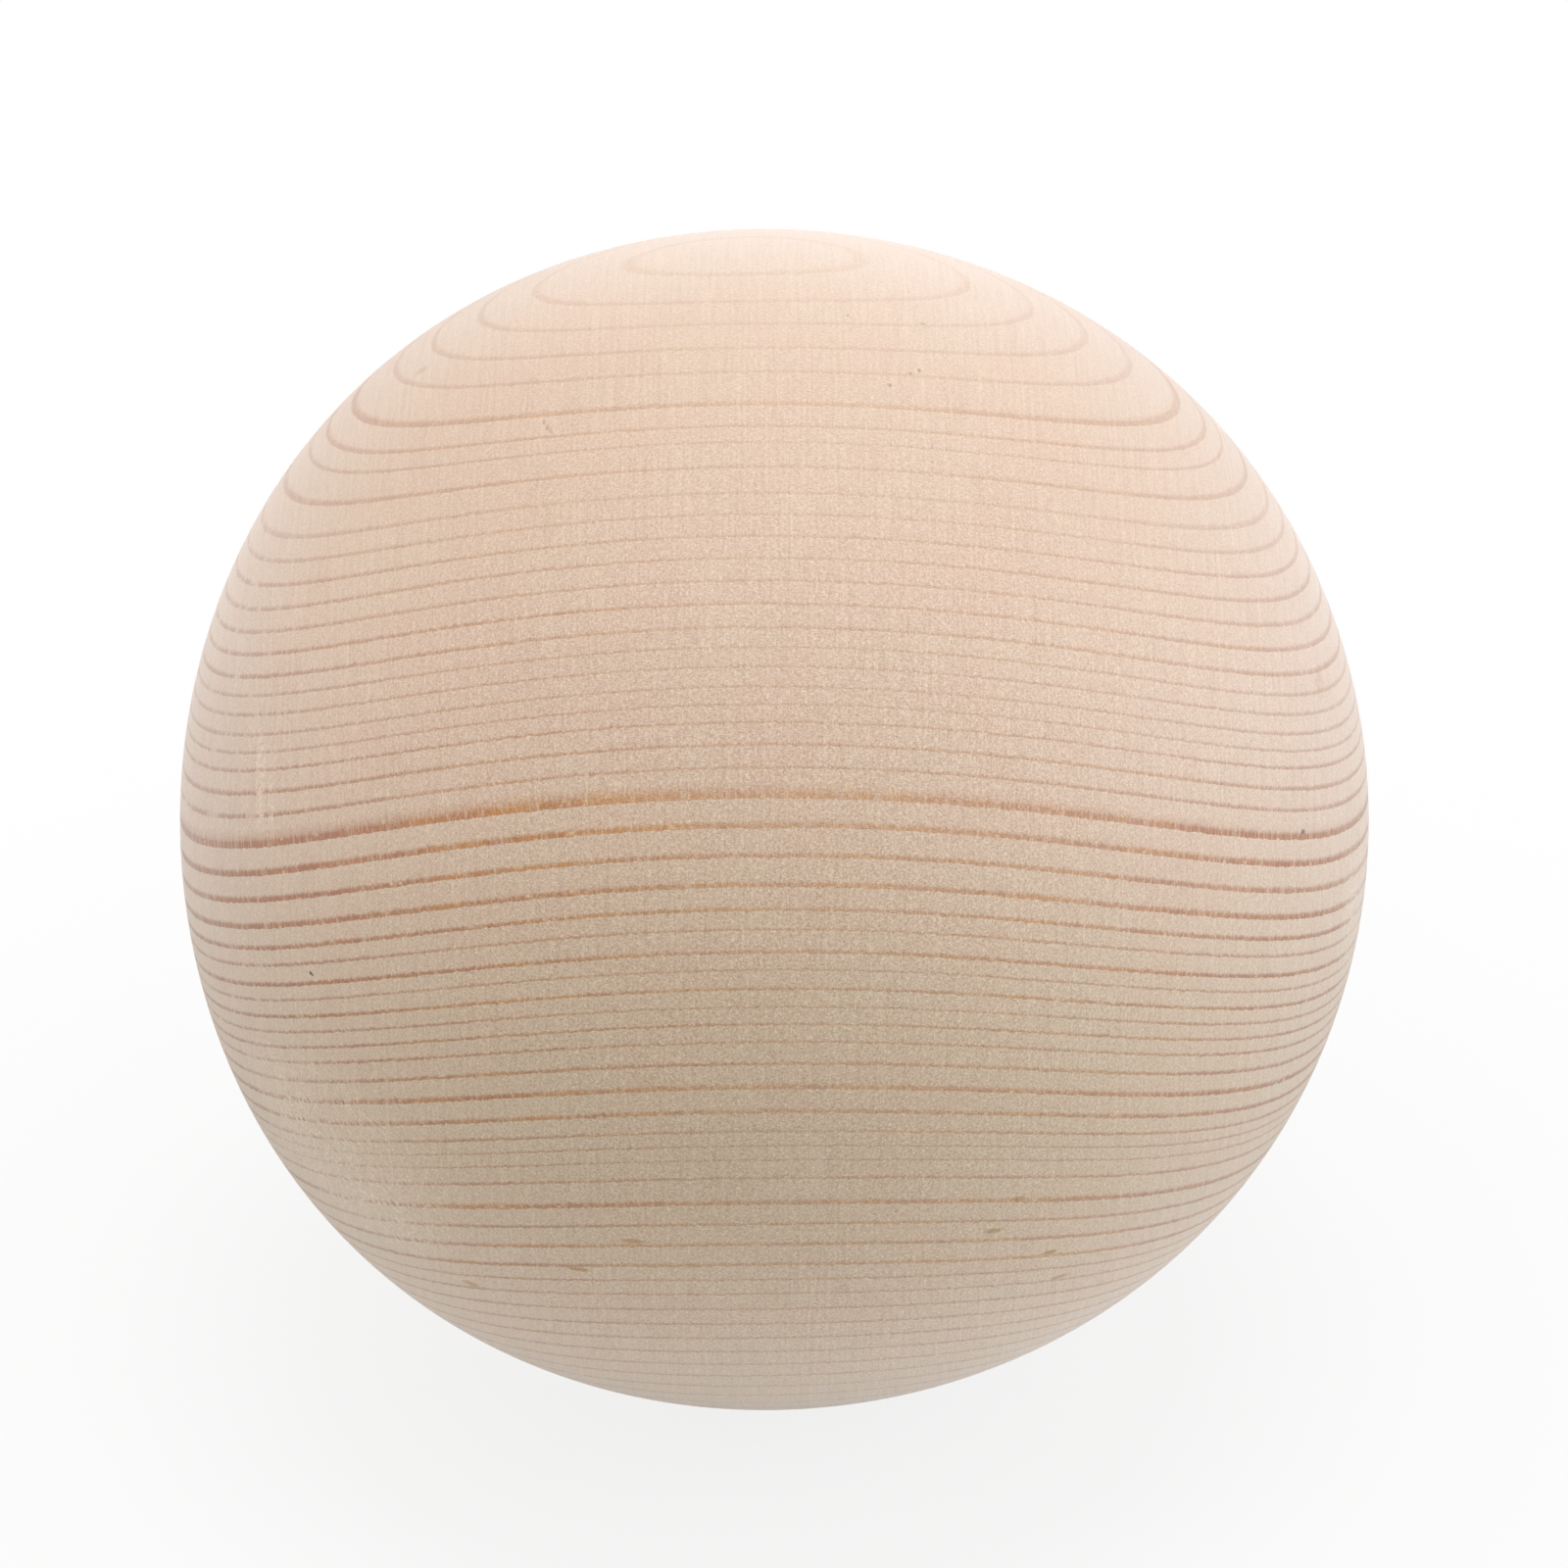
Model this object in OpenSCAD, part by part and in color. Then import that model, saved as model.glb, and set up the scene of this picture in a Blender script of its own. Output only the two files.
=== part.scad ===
// Solid wooden ball, turned and sanded from one piece of softwood.
// Millimetres. The origin is the centre of the ball, with +Z up.
// The grain of the wood runs along X, and -Y is the side seen from the front.

/* [Ball] */
// Diameter of the finished ball
ball_d = 60; // [10:1:120]

/* [Hidden] */

// Number of sides that the round form is drawn with
round_fn = 128;

// The ball is one turned piece: solid all through, with no bore and no flat.
module ball() {
    color("#E1CAB1")
        sphere(d = ball_d, $fn = round_fn);
}

ball();
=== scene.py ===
import math

import bmesh
import bpy
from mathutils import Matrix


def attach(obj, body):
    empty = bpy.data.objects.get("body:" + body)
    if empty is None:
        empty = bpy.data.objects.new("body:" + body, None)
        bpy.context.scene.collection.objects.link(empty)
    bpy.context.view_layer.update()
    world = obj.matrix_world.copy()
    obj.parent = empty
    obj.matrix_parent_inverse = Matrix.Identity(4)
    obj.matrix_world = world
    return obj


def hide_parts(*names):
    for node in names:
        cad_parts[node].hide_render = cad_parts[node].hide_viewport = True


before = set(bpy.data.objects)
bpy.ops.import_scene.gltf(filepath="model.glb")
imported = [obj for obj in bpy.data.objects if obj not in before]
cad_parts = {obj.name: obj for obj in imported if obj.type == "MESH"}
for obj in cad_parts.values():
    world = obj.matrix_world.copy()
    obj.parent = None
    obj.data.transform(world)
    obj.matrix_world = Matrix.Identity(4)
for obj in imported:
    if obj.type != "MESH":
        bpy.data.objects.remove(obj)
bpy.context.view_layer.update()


# Ball: one solid piece of bare softwood, turned between centres with its grain along the lathe axis, X.
# It came off the lathe up to a third of a millimetre out of true, and was sanded and left unfinished.

ball_radius = 0.030
outline_steps = 200
turning_steps = 440
weld_gap = 1e-6


def turned_radius(angle):
    """Radius of the turned outline, in metres, at an angle from the +X end of the lathe axis."""
    out_of_true_mm = 0.03 - 0.125 * math.cos(angle) + 0.09 * math.cos(2 * angle)
    out_of_true_mm += 0.115 * math.cos(3 * angle) - 0.125 * math.cos(4 * angle)
    return ball_radius + out_of_true_mm / 1000


ball_shape = bmesh.new()
outline = []
for step in range(outline_steps + 1):
    angle = math.pi * step / outline_steps
    reach = turned_radius(angle)
    outline.append(ball_shape.verts.new((reach * math.cos(angle), 0, reach * math.sin(angle))))
outline_edges = [ball_shape.edges.new(ends) for ends in zip(outline, outline[1:])]
bmesh.ops.spin(
    ball_shape,
    geom=outline + outline_edges,
    cent=(0, 0, 0),
    axis=(1, 0, 0),
    angle=2 * math.pi,
    steps=turning_steps,
    use_merge=True,
)
bmesh.ops.remove_doubles(ball_shape, verts=ball_shape.verts, dist=weld_gap)
bmesh.ops.recalc_face_normals(ball_shape, faces=ball_shape.faces)
for face in ball_shape.faces:
    face.smooth = True
ball_mesh = bpy.data.meshes.new("turned_ball")
ball_shape.to_mesh(ball_mesh)
ball_shape.free()
ball = bpy.data.objects.new("turned_ball", ball_mesh)
bpy.context.scene.collection.objects.link(ball)


class Signal:
    """A socket in a node tree. Arithmetic on it adds Math nodes, and add() adds any other node."""

    def __init__(self, socket):
        self.socket = socket

    def add(self, kind, settings, inputs, output=0):
        """Adds a node of one kind, sets it up, then gives its sockets their values or links."""
        tree = self.socket.id_data
        node = tree.nodes.new(kind)
        for name, value in settings.items():
            setattr(node, name, value)
        for name, value in inputs.items():
            if isinstance(value, Signal):
                tree.links.new(value.socket, node.inputs[name])
            else:
                node.inputs[name].default_value = value
        return Signal(node.outputs[output])

    def output(self, name):
        """Another output of the same node."""
        return Signal(self.socket.node.outputs[name])

    def math(self, operation, *values):
        return self.add("ShaderNodeMath", {"operation": operation}, dict(enumerate(values)))

    def __add__(self, other):
        return self.math("ADD", self, other)

    def __radd__(self, other):
        return self.math("ADD", other, self)

    def __sub__(self, other):
        return self.math("SUBTRACT", self, other)

    def __rsub__(self, other):
        return self.math("SUBTRACT", other, self)

    def __mul__(self, other):
        return self.math("MULTIPLY", self, other)

    def __rmul__(self, other):
        return self.math("MULTIPLY", other, self)

    def __truediv__(self, other):
        return self.math("DIVIDE", self, other)

    def __pow__(self, other):
        return self.math("POWER", self, other)

    def __gt__(self, other):
        return self.math("GREATER_THAN", self, other)

    def held(self, low, high):
        """Kept from going under low or over high."""
        return self.math("MINIMUM", self.math("MAXIMUM", self, low), high)

    def rise(self, low, high, start=0.0, end=1.0):
        """Goes smoothly from start, at low or less, to end, at high or more."""
        ends = {"Value": self, "From Min": low, "From Max": high, "To Min": start, "To Max": end}
        return self.add("ShaderNodeMapRange", {"interpolation_type": "SMOOTHSTEP"}, ends)

    def climb(self, first, last, top=1.0):
        """Goes straight from 0, at first, to top, at last, and stays level beyond them."""
        ends = {"Value": self, "From Min": first, "From Max": last, "To Max": top}
        return self.add("ShaderNodeMapRange", {"clamp": True}, ends)

    def stretched(self, factors):
        return self.add("ShaderNodeVectorMath", {"operation": "MULTIPLY"}, {0: self, 1: factors})

    def noise(self, factors, detail, roughness=0.5):
        """Smooth noise about 0, from -0.5 to 0.5, with about this many waves to a unit on each axis."""
        inputs = {"Vector": self.stretched(factors), "Scale": 1.0, "Detail": detail, "Roughness": roughness}
        return self.add("ShaderNodeTexNoise", {"noise_dimensions": "3D"}, inputs) - 0.5

    def blend(self, first, second):
        """Mixes two colours, with this signal as the share of the second."""
        return self.add("ShaderNodeMix", {"data_type": "RGBA"}, {0: self, 6: first, 7: second}, 2)

    def tint(self, colour):
        """This colour multiplied by another one."""
        settings = {"data_type": "RGBA", "blend_type": "MULTIPLY"}
        return self.add("ShaderNodeMix", settings, {0: 1.0, 6: self, 7: colour}, 2)


softwood = bpy.data.materials.new("bare_softwood")
softwood.use_nodes = True
softwood_nodes = softwood.node_tree.nodes
softwood_shader = softwood_nodes["Principled BSDF"]

# The wood has axes of its own, in millimetres: X runs along the grain and Z roughly towards the pith.
# They lie turned about the grain in the ball, so that the wood's pictured side faces the camera.
place = Signal(softwood_nodes.new("ShaderNodeTexCoord").outputs["Object"])
wood_turn = math.radians(15)
to_millimetres = (1000, 1000, 1000)
half_length = 30
wood_inputs = {"Vector": place, "Rotation": (wood_turn, 0, 0), "Scale": to_millimetres}
spot = place.add("ShaderNodeMapping", {"vector_type": "POINT"}, wood_inputs)
along = spot.add("ShaderNodeSeparateXYZ", {}, {0: spot})
side = along.output("Y")
height = along.output("Z")

# On those axes the pith of the tree lies outside the ball, near Z, and runs slightly askew to X.
pith_side = -5.9
pith_height = 44.2
pith_side_lean = -0.044
pith_height_lean = 0.030
across = side - (pith_side + pith_side_lean * along)
below = (pith_height + pith_height_lean * along) - height
radius = (across * across + below * below) ** 0.5
mean_ring_radius = 45
ring_arc = across.math("ARCTAN2", across, below) * mean_ring_radius
cell = along.add("ShaderNodeCombineXYZ", {}, {0: along, 1: ring_arc, 2: radius})

# Growth record from the pith side to the bark side: years, ring width in mm, strength of the late wood.
first_edge = 14.0
growth = (
    (2, 1.35, 0.14), (1, 1.30, 0.14), (2, 1.45, 0.18), (1, 1.95, 0.42), (1, 1.25, 0.30), (1, 0.90, 0.20),
    (1, 1.40, 0.30), (1, 1.40, 0.14), (1, 1.12, 0.18), (3, 1.12, 0.30), (2, 1.13, 0.42), (3, 0.91, 0.28),
    (1, 0.80, 0.30), (1, 0.80, 0.46), (2, 1.00, 0.52), (1, 1.30, 1.15), (1, 1.26, 1.00), (1, 1.26, 0.80),
    (1, 1.25, 0.86), (1, 1.00, 0.80), (1, 0.80, 0.56), (1, 0.95, 0.80), (1, 0.70, 0.48), (1, 0.80, 0.78),
    (1, 0.72, 0.54), (2, 0.72, 0.68), (1, 0.90, 0.70), (1, 1.00, 0.98), (1, 1.00, 0.84), (1, 0.80, 0.68),
    (2, 0.60, 0.46), (1, 0.80, 0.68), (1, 1.13, 0.90), (1, 0.92, 0.66), (2, 0.95, 0.82), (2, 0.70, 0.58),
    (4, 0.78, 0.60), (4, 0.78, 0.50), (8, 0.80, 0.40),
)

# The rings wander and are a little jagged. Near the left end of the grain the inner ones lift to the pith,
# and some crook there. Near the right end the outer ones drop away from it.
wander = spot.noise((0.03, 0.06, 0.06), 1.0) * 0.2
jag = cell.noise((4.0, 4.0, 1.4), 1.0, 0.65) * 0.16
left_half = along.climb(0, -half_length)
right_half = along.climb(0, half_length)
left_lift = left_half ** 2 * radius.climb(38, 20, 1.25)
left_crook = radius.climb(27, 22, 2.2) + radius.rise(30, 36, 0.0, 0.8) * radius.climb(43, 38)
right_drop = right_half ** 3 * radius.climb(25, 36, 0.75)
grown = radius + left_lift + left_half ** 4 * left_crook - right_drop + wander + jag

# Counting the years outwards gives each spot its ring, that ring's strength and the season within it.
count = 0.0
ring_strength = growth[0][2]
last_strength = growth[0][2]
edge = first_edge
for years, width, strength in growth:
    bark_edge = edge + years * width
    count = grown.climb(edge, bark_edge, years) + count
    if strength != last_strength:
        change = strength - last_strength
        ring_strength = grown.math("MULTIPLY_ADD", grown > edge, change, ring_strength)
    last_strength = strength
    edge = bark_edge
season = count.math("FRACT", count)
year = count.math("FLOOR", count)

# The late wood is uneven along each line, and differently in each year. It is palest in the middle of the
# ball and darkest at its left. The strongest rings also have a soft haze, and a weaker line in the middle.
year_gap = 7.3
year_cell = along.add("ShaderNodeCombineXYZ", {}, {0: along, 1: ring_arc, 2: year * year_gap})
end_grain = (along / half_length) ** 2
patchiness = year_cell.noise((0.14, 0.14, 1.0), 1.0) * 0.7 + 1.0
late_strength = ring_strength * patchiness
left_of_middle = left_half.held(0, 0.35)
exposure = (end_grain ** 0.5 * 0.60 + left_of_middle * 0.64 + 0.67).held(0, 1.35)
haze_share = (ring_strength * 0.9 - 0.68).held(0, 0.42)
haze_depth = haze_share * patchiness * (left_of_middle * 3.0 + 0.8) * (1 - end_grain * 0.5)
thinning = haze_share * (0.8 - end_grain * 1.6).held(0, 0.8)
line_depth = (late_strength * 0.62 + 0.22).held(0, 0.76) * (1 - thinning) * exposure

# Late wood darkens slowly through the year to a thin hard line, and stops short at the next spring's wood.
# The line is wider in strong rings, and in most towards the ends of the grain. Its inner edge is ragged.
ragged = cell.noise((9.0, 9.0, 0.8), 0.0) * 0.14
core_share = haze_share * (1 - end_grain) * 0.35
line_start = 1 - (end_grain * 0.12 + late_strength * 0.06 + core_share + ragged + 0.14)
line = season.climb(line_start, line_start * 0.5 + 0.5)
haze_start = 1 - (ring_strength * 3.2 - 3.1).held(0.2, 0.6) - left_half.held(0, 0.3) * 0.3 + ragged
haze = season.rise(haze_start, haze_start * 0.36 + 0.64)
dusk = season.rise(0.30, 1.0) * late_strength * 0.07

# Pale rays cross the rings and break the dark lines up, and so do the marks of the lathe and of sanding.
fine_ray = cell.noise((9.0, 9.0, 0.45), 0.0).rise(0.02, 0.16)
broad_ray = cell.noise((3.2, 3.2, 0.35), 0.0).rise(0.10, 0.20)
lathe_turn = side.math("ARCTAN2", side, height)
lathe_arc = lathe_turn * half_length
lathe_spot = along.add("ShaderNodeCombineXYZ", {}, {0: along, 1: lathe_arc})
sanding = lathe_spot.noise((7.0, 0.15, 1.0), 2.0, 0.7)
nicks = lathe_spot.noise((2.5, 0.4, 1.0), 1.0).rise(0.04, 0.14, 0.0, 0.7) * left_half.rise(0.70, 0.85)
nicks = nicks * late_strength.rise(0.5, 0.9, 1.0, 0.0)
breaks = (fine_ray * 0.40 + broad_ray * 0.25 + sanding * 0.4 + nicks).held(0, 0.85)
hard_line = line * line_depth
soft_haze = haze * haze_depth
overlap_share = 0.4
stronger = line.math("MAXIMUM", hard_line, soft_haze)
weaker = line.math("MINIMUM", hard_line, soft_haze)
late_wood = (stronger + weaker * overlap_share).held(0, 1) * (1 - breaks)


def spread(marks):
    """How much of the wood some marks cover. Each has a place, its reach on X, Y and Z, and its cover."""
    cover = 0.0
    for centre, reach, most in marks:
        shrink = [1 / length for length in reach]
        shift = [-position / length for position, length in zip(centre, reach)]
        inputs = {0: spot, 1: shrink, 2: shift}
        offset = spot.add("ShaderNodeVectorMath", {"operation": "MULTIPLY_ADD"}, inputs)
        gap = offset.add("ShaderNodeVectorMath", {"operation": "LENGTH"}, {0: offset}, "Value")
        cover = gap.rise(0.4, 1.0, most, 0.0) + cover
    return cover


# Patches of raised fibres towards both ends of the grain lie slantwise and hide the rings. Fine hairs curl
# over them and lighten the late wood too.
fuzz_patches = (
    ((-20.5, -18.5, -11.5), (9.5, 9.5, 8.0), 0.55),
    ((-23.6, -16.8, -8.8), (4.0, 4.0, 3.5), 0.25),
    ((-21.2, -17.8, -12.4), (4.5, 4.5, 4.0), 0.30),
    ((-18.3, -19.1, -14.7), (3.5, 4.0, 3.0), 0.25),
    ((-24.2, -17.0, 6.4), (0.40, 3.0, 3.2), 0.80),
    ((-23.6, -18.0, 6.1), (0.25, 2.0, 2.4), 0.50),
    ((28.5, -9.3, -0.9), (2.2, 4.0, 3.2), 0.45),
    ((28.6, -8.5, -3.4), (2.2, 4.4, 3.4), 0.45),
    ((-21.0, 14.0, -16.0), (8.0, 8.0, 6.0), 0.50),
    ((22.0, 18.0, 9.0), (6.0, 7.0, 6.0), 0.40),
)
slant_per_turn = 13
slant = along.add("ShaderNodeCombineXYZ", {}, {0: along + lathe_turn * slant_per_turn, 1: lathe_arc})
stroke = slant.noise((5.0, 2.0, 1.0), 1.0, 0.65)
fuzz_cover = spread(fuzz_patches)
fuzz = (fuzz_cover * (stroke * 4.0 + 0.6)).held(0, 1)
hair_width = 0.06
curl = spot.noise((3.5, 3.5, 2.2), 1.0)
hair = (hair_width - curl.math("ABSOLUTE", curl)).rise(0.0, 0.04)
darkness = (late_wood + dusk) * (1 - fuzz) * (1 - hair * fuzz_cover.held(0, 0.8))

# Resin canals are small pale dots in the heavy late wood.
canal_cell = cell.stretched((1.1, 1.5, 1.6))
canal_settings = {"voronoi_dimensions": "3D", "feature": "F1"}
canal_gap = cell.add("ShaderNodeTexVoronoi", canal_settings, {"Vector": canal_cell, "Scale": 1.0})
canal = canal_gap.rise(0.10, 0.20, 0.8, 0.0) * haze.rise(0.1, 0.4) * late_strength.rise(0.60, 0.95)

# Pale wood is pinker near the pith and straw-coloured near the bark. The outermost rings lie at the bottom
# of the ball, by the floor, and are painted much paler there: painted light bounced up from the floor.
pink_wood = (0.715, 0.528, 0.397, 1)
straw_wood = (0.690, 0.528, 0.368, 1)
painted_floor_bounce_wood = (0.86, 0.69, 0.52, 1)
pale_wood = radius.rise(36, 56).blend(pink_wood, straw_wood)
# Painted bounce light: the bottom of the ball, facing the floor, is painted paler.
pale_wood = radius.rise(57, 74).blend(pale_wood, painted_floor_bounce_wood)
pink_mottle = (1.005, 0.990, 0.985, 1)
green_mottle = (0.995, 1.006, 1.0, 1)
mottle = spot.noise((0.25, 0.25, 0.25), 1.0).rise(-0.2, 0.2)
pale_wood = pale_wood.tint(mottle.blend(pink_mottle, green_mottle))

# Late wood runs from rust to honey. Thin lines are a duller brown, and the ends of the grain a deeper rust.
rust_wood = (0.42, 0.165, 0.080, 1)
honey_wood = (0.57, 0.260, 0.075, 1)
thin_line_wood = (0.36, 0.18, 0.09, 1)
end_wood = (0.37, 0.120, 0.022, 1)
canal_resin = (0.74, 0.53, 0.27, 1)
middle = end_grain.rise(0.0, 0.5, 0.5, 0.0)
honey = year_cell.noise((0.30, 0.30, 1.0), 1.0).rise(-0.12, 0.12, 0.0, 0.5) + middle
dark_wood = honey.blend(rust_wood, honey_wood)
thin_line = ring_strength.rise(0.45, 0.95, 0.2, 0.0)
dark_wood = thin_line.blend(dark_wood, thin_line_wood)
dark_wood = end_grain.rise(0.3, 0.8).blend(dark_wood, end_wood)
wood_colour = darkness.held(0, 1).blend(pale_wood, dark_wood)
wood_colour = canal.blend(wood_colour, canal_resin)

# Resin streaks stain the wood ochre, and a few specks of dirt are almost black.
resin_streaks = (
    ((-6.6, -26.1, -13.2), (0.9, 0.5, 0.18), 0.70),
    ((-9.2, -24.2, -15.3), (0.8, 0.5, 0.18), 0.85),
    ((10.2, -24.7, -13.2), (0.7, 0.5, 0.20), 0.75),
    ((13.0, -22.2, -15.2), (0.6, 0.5, 0.18), 0.90),
    ((13.6, -20.4, -17.1), (0.8, 0.5, 0.20), 0.65),
    ((-14.5, -19.7, -17.7), (0.8, 0.5, 0.25), 0.70),
    ((11.3, -25.1, -11.5), (0.5, 0.5, 0.20), 0.75),
    ((26.2, -10.9, 9.7), (0.7, 1.0, 0.9), 0.22),
    ((-17.1, -6.5, 24.2), (0.5, 0.5, 0.4), 0.40),
)
dirt_specks = (
    ((-21.66, -21.16, -1.74), (0.14, 0.15, 0.12), 0.95),
    ((-21.56, -21.24, -1.80), (0.12, 0.15, 0.10), 0.7),
    ((25.02, -16.17, 3.73), (0.28, 0.28, 0.17), 0.8),
    ((-10.70, -15.76, 23.30), (0.12, 0.25, 0.20), 0.30),
    ((-10.53, -16.13, 23.12), (0.12, 0.25, 0.20), 0.30),
    ((-10.36, -16.40, 23.00), (0.12, 0.25, 0.20), 0.20),
    ((6.74, -13.95, 25.42), (0.12, 0.2, 0.15), 0.50),
    ((6.32, -14.29, 25.34), (0.15, 0.2, 0.15), 0.30),
    ((5.34, -15.31, 24.96), (0.12, 0.2, 0.15), 0.40),
    ((3.44, -10.85, 27.51), (0.12, 0.2, 0.15), 0.30),
    ((6.98, -10.29, 27.05), (0.18, 0.2, 0.15), 0.30),
)
resin_stain = (0.50, 0.27, 0.08, 1)
dirt = (0.05, 0.035, 0.02, 1)
wood_colour = spread(resin_streaks).blend(wood_colour, resin_stain)
wood_colour = spread(dirt_specks).blend(wood_colour, dirt)

# Cut fibres, rays and sanding dust give the bare wood a fine speckle, whose dark grains are the warmer ones.
# A painted glint of light along the fine hairs is added to the speckle.
# The grit also roughens the surface very slightly.
fibre = spot.noise((6.0, 14.0, 14.0), 0.0)
dust = spot.noise((16.0, 16.0, 16.0), 0.0)
grit = fibre * 0.34 + dust * 0.56
ray_fleck = cell.noise((11.0, 11.0, 5.0), 0.0)
# A painted highlight: the fine hairs are painted brighter, as if catching the light.
painted_hair_glint = hair * (fibre > -0.03) * (fuzz_cover * 0.26 + 0.06)
speckle = (grit + ray_fleck * 0.30) * height.rise(6, 28, 1.0, 0.65) * (middle * 0.55 + 0.88)
speckle = speckle + painted_hair_glint + sanding * 0.30 + fuzz * 0.10
tone_inputs = {0: speckle * 0.70 + 0.985, 1: speckle + 0.98, 2: speckle * 1.18 + 0.98}
speckle_colour = speckle.add("ShaderNodeCombineColor", {}, tone_inputs)
wood_colour = wood_colour.tint(speckle_colour)
wood_links = softwood.node_tree.links
wood_links.new(wood_colour.socket, softwood_shader.inputs["Base Color"])
grit_depth = 0.00004
bump = grit.add("ShaderNodeBump", {}, {"Strength": 0.5, "Distance": grit_depth, "Height": grit})
wood_links.new(bump.socket, softwood_shader.inputs["Normal"])
roughness = 0.62 - darkness * 0.10
wood_links.new(roughness.socket, softwood_shader.inputs["Roughness"])
softwood_shader.inputs["Sheen Weight"].default_value = 0.5
softwood_shader.inputs["Sheen Roughness"].default_value = 0.5
ball_mesh.materials.append(softwood)
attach(ball, "root")
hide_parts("ball")


# Floor: a wide pale sheet under the ball, which takes its soft shadow.
# It shows white to the camera and in reflections, and fades to plain white away from the ball.

floor_half_width = 3.0
floor_shape = bmesh.new()
bmesh.ops.create_grid(floor_shape, x_segments=1, y_segments=1, size=floor_half_width)
lowest = min(corner.co.z for corner in ball_mesh.vertices)
bmesh.ops.translate(floor_shape, verts=floor_shape.verts, vec=(0, 0, lowest))
floor_mesh = bpy.data.meshes.new("floor")
floor_shape.to_mesh(floor_mesh)
floor_shape.free()
floor = bpy.data.objects.new("floor", floor_mesh)
bpy.context.scene.collection.objects.link(floor)
floor_paper = bpy.data.materials.new("floor_paper")
floor_paper.use_nodes = True
paper_nodes = floor_paper.node_tree.nodes
paper_links = floor_paper.node_tree.links
paper = paper_nodes["Principled BSDF"]
paper.inputs["Base Color"].default_value = (0.65, 0.65, 0.65, 1)
paper.inputs["Roughness"].default_value = 0.9
paper_ray = Signal(paper_nodes.new("ShaderNodeLightPath").outputs["Is Camera Ray"])
paper_place = Signal(paper_nodes.new("ShaderNodeTexCoord").outputs["Object"])
from_ball = paper_place.add("ShaderNodeVectorMath", {"operation": "LENGTH"}, {0: paper_place}, "Value")
white_near_ball = 0.82
seen_white = from_ball.rise(0.02, 0.09) * (1 - white_near_ball) + white_near_ball
mirrored = paper_ray.output("Is Glossy Ray") + paper_ray.output("Is Transmission Ray")
whiteness = (paper_ray * seen_white + mirrored).held(0, 1)
white_paper = paper_place.add("ShaderNodeEmission", {}, {"Color": (1, 1, 1, 1), "Strength": 1.0})
bare_paper = Signal(paper.outputs["BSDF"])
paper_mix = whiteness.add("ShaderNodeMixShader", {}, {0: whiteness, 1: bare_paper, 2: white_paper})
paper_links.new(paper_mix.socket, paper_nodes["Material Output"].inputs["Surface"])
floor_mesh.materials.append(floor_paper)


# Light: a white room, with soft lamps above, at both sides, behind and at the front right.
# The room shows plain white to the camera and in reflections, and lights the ball about a third as much.
# The two lamps on the right are slightly cooler than the others.

room = bpy.data.worlds.new("white_room")
bpy.context.scene.world = room
room.use_nodes = True
room_nodes = room.node_tree.nodes
room_light = room_nodes["Background"]
room_light.inputs["Color"].default_value = (1, 1, 1, 1)
room_ray = Signal(room_nodes.new("ShaderNodeLightPath").outputs["Is Camera Ray"])
room_seen = room_ray + room_ray.output("Is Glossy Ray") + room_ray.output("Is Transmission Ray")
room_glow = 0.325
room_level = room_seen.held(0, 1) * (1 - room_glow) + room_glow
room.node_tree.links.new(room_level.socket, room_light.inputs["Strength"])


def soft_lamp(name, place, power, colour):
    """A square area lamp that faces the ball."""
    lamp_data = bpy.data.lights.new(name, "AREA")
    lamp_data.size = 0.45
    lamp_data.energy = power
    lamp_data.color = colour
    lamp = bpy.data.objects.new(name, lamp_data)
    lamp.location = place
    lamp.rotation_euler = lamp.location.to_track_quat("Z", "Y").to_euler()
    bpy.context.scene.collection.objects.link(lamp)


soft_lamp("lamp_above", (0, 0, 0.60), 2.45, (1, 1, 1))
soft_lamp("lamp_right", (0.58, 0, 0.15), 1.53, (0.92, 1.0, 1.12))
soft_lamp("lamp_left", (-0.58, 0, 0.15), 0.92, (1, 1, 1))
soft_lamp("lamp_behind", (0, 0.58, 0.15), 1.25, (1, 1, 1))
soft_lamp("lamp_front_right", (0.42, -0.42, 0.15), 0.48, (0.94, 1.0, 1.10))


# Camera: stands in front of the ball and looks 30 degrees down at it, with a long lens.
# The lens is shifted, so that the ball lies a little below the middle of the picture and just left of it.

camera_tilt = math.radians(30)
camera_distance = 0.240
camera_data = bpy.data.cameras.new("camera")
camera_data.lens = 108.28
camera_data.sensor_width = 36
camera_data.shift_x = 0.0059
camera_data.shift_y = 0.0227
camera_data.clip_start = 0.01
camera = bpy.data.objects.new("camera", camera_data)
camera.location.y = -camera_distance * math.cos(camera_tilt)
camera.location.z = camera_distance * math.sin(camera_tilt)
camera.rotation_euler.x = math.pi / 2 - camera_tilt
bpy.context.scene.collection.objects.link(camera)
bpy.context.scene.camera = camera
bpy.context.scene.view_settings.view_transform = "Standard"
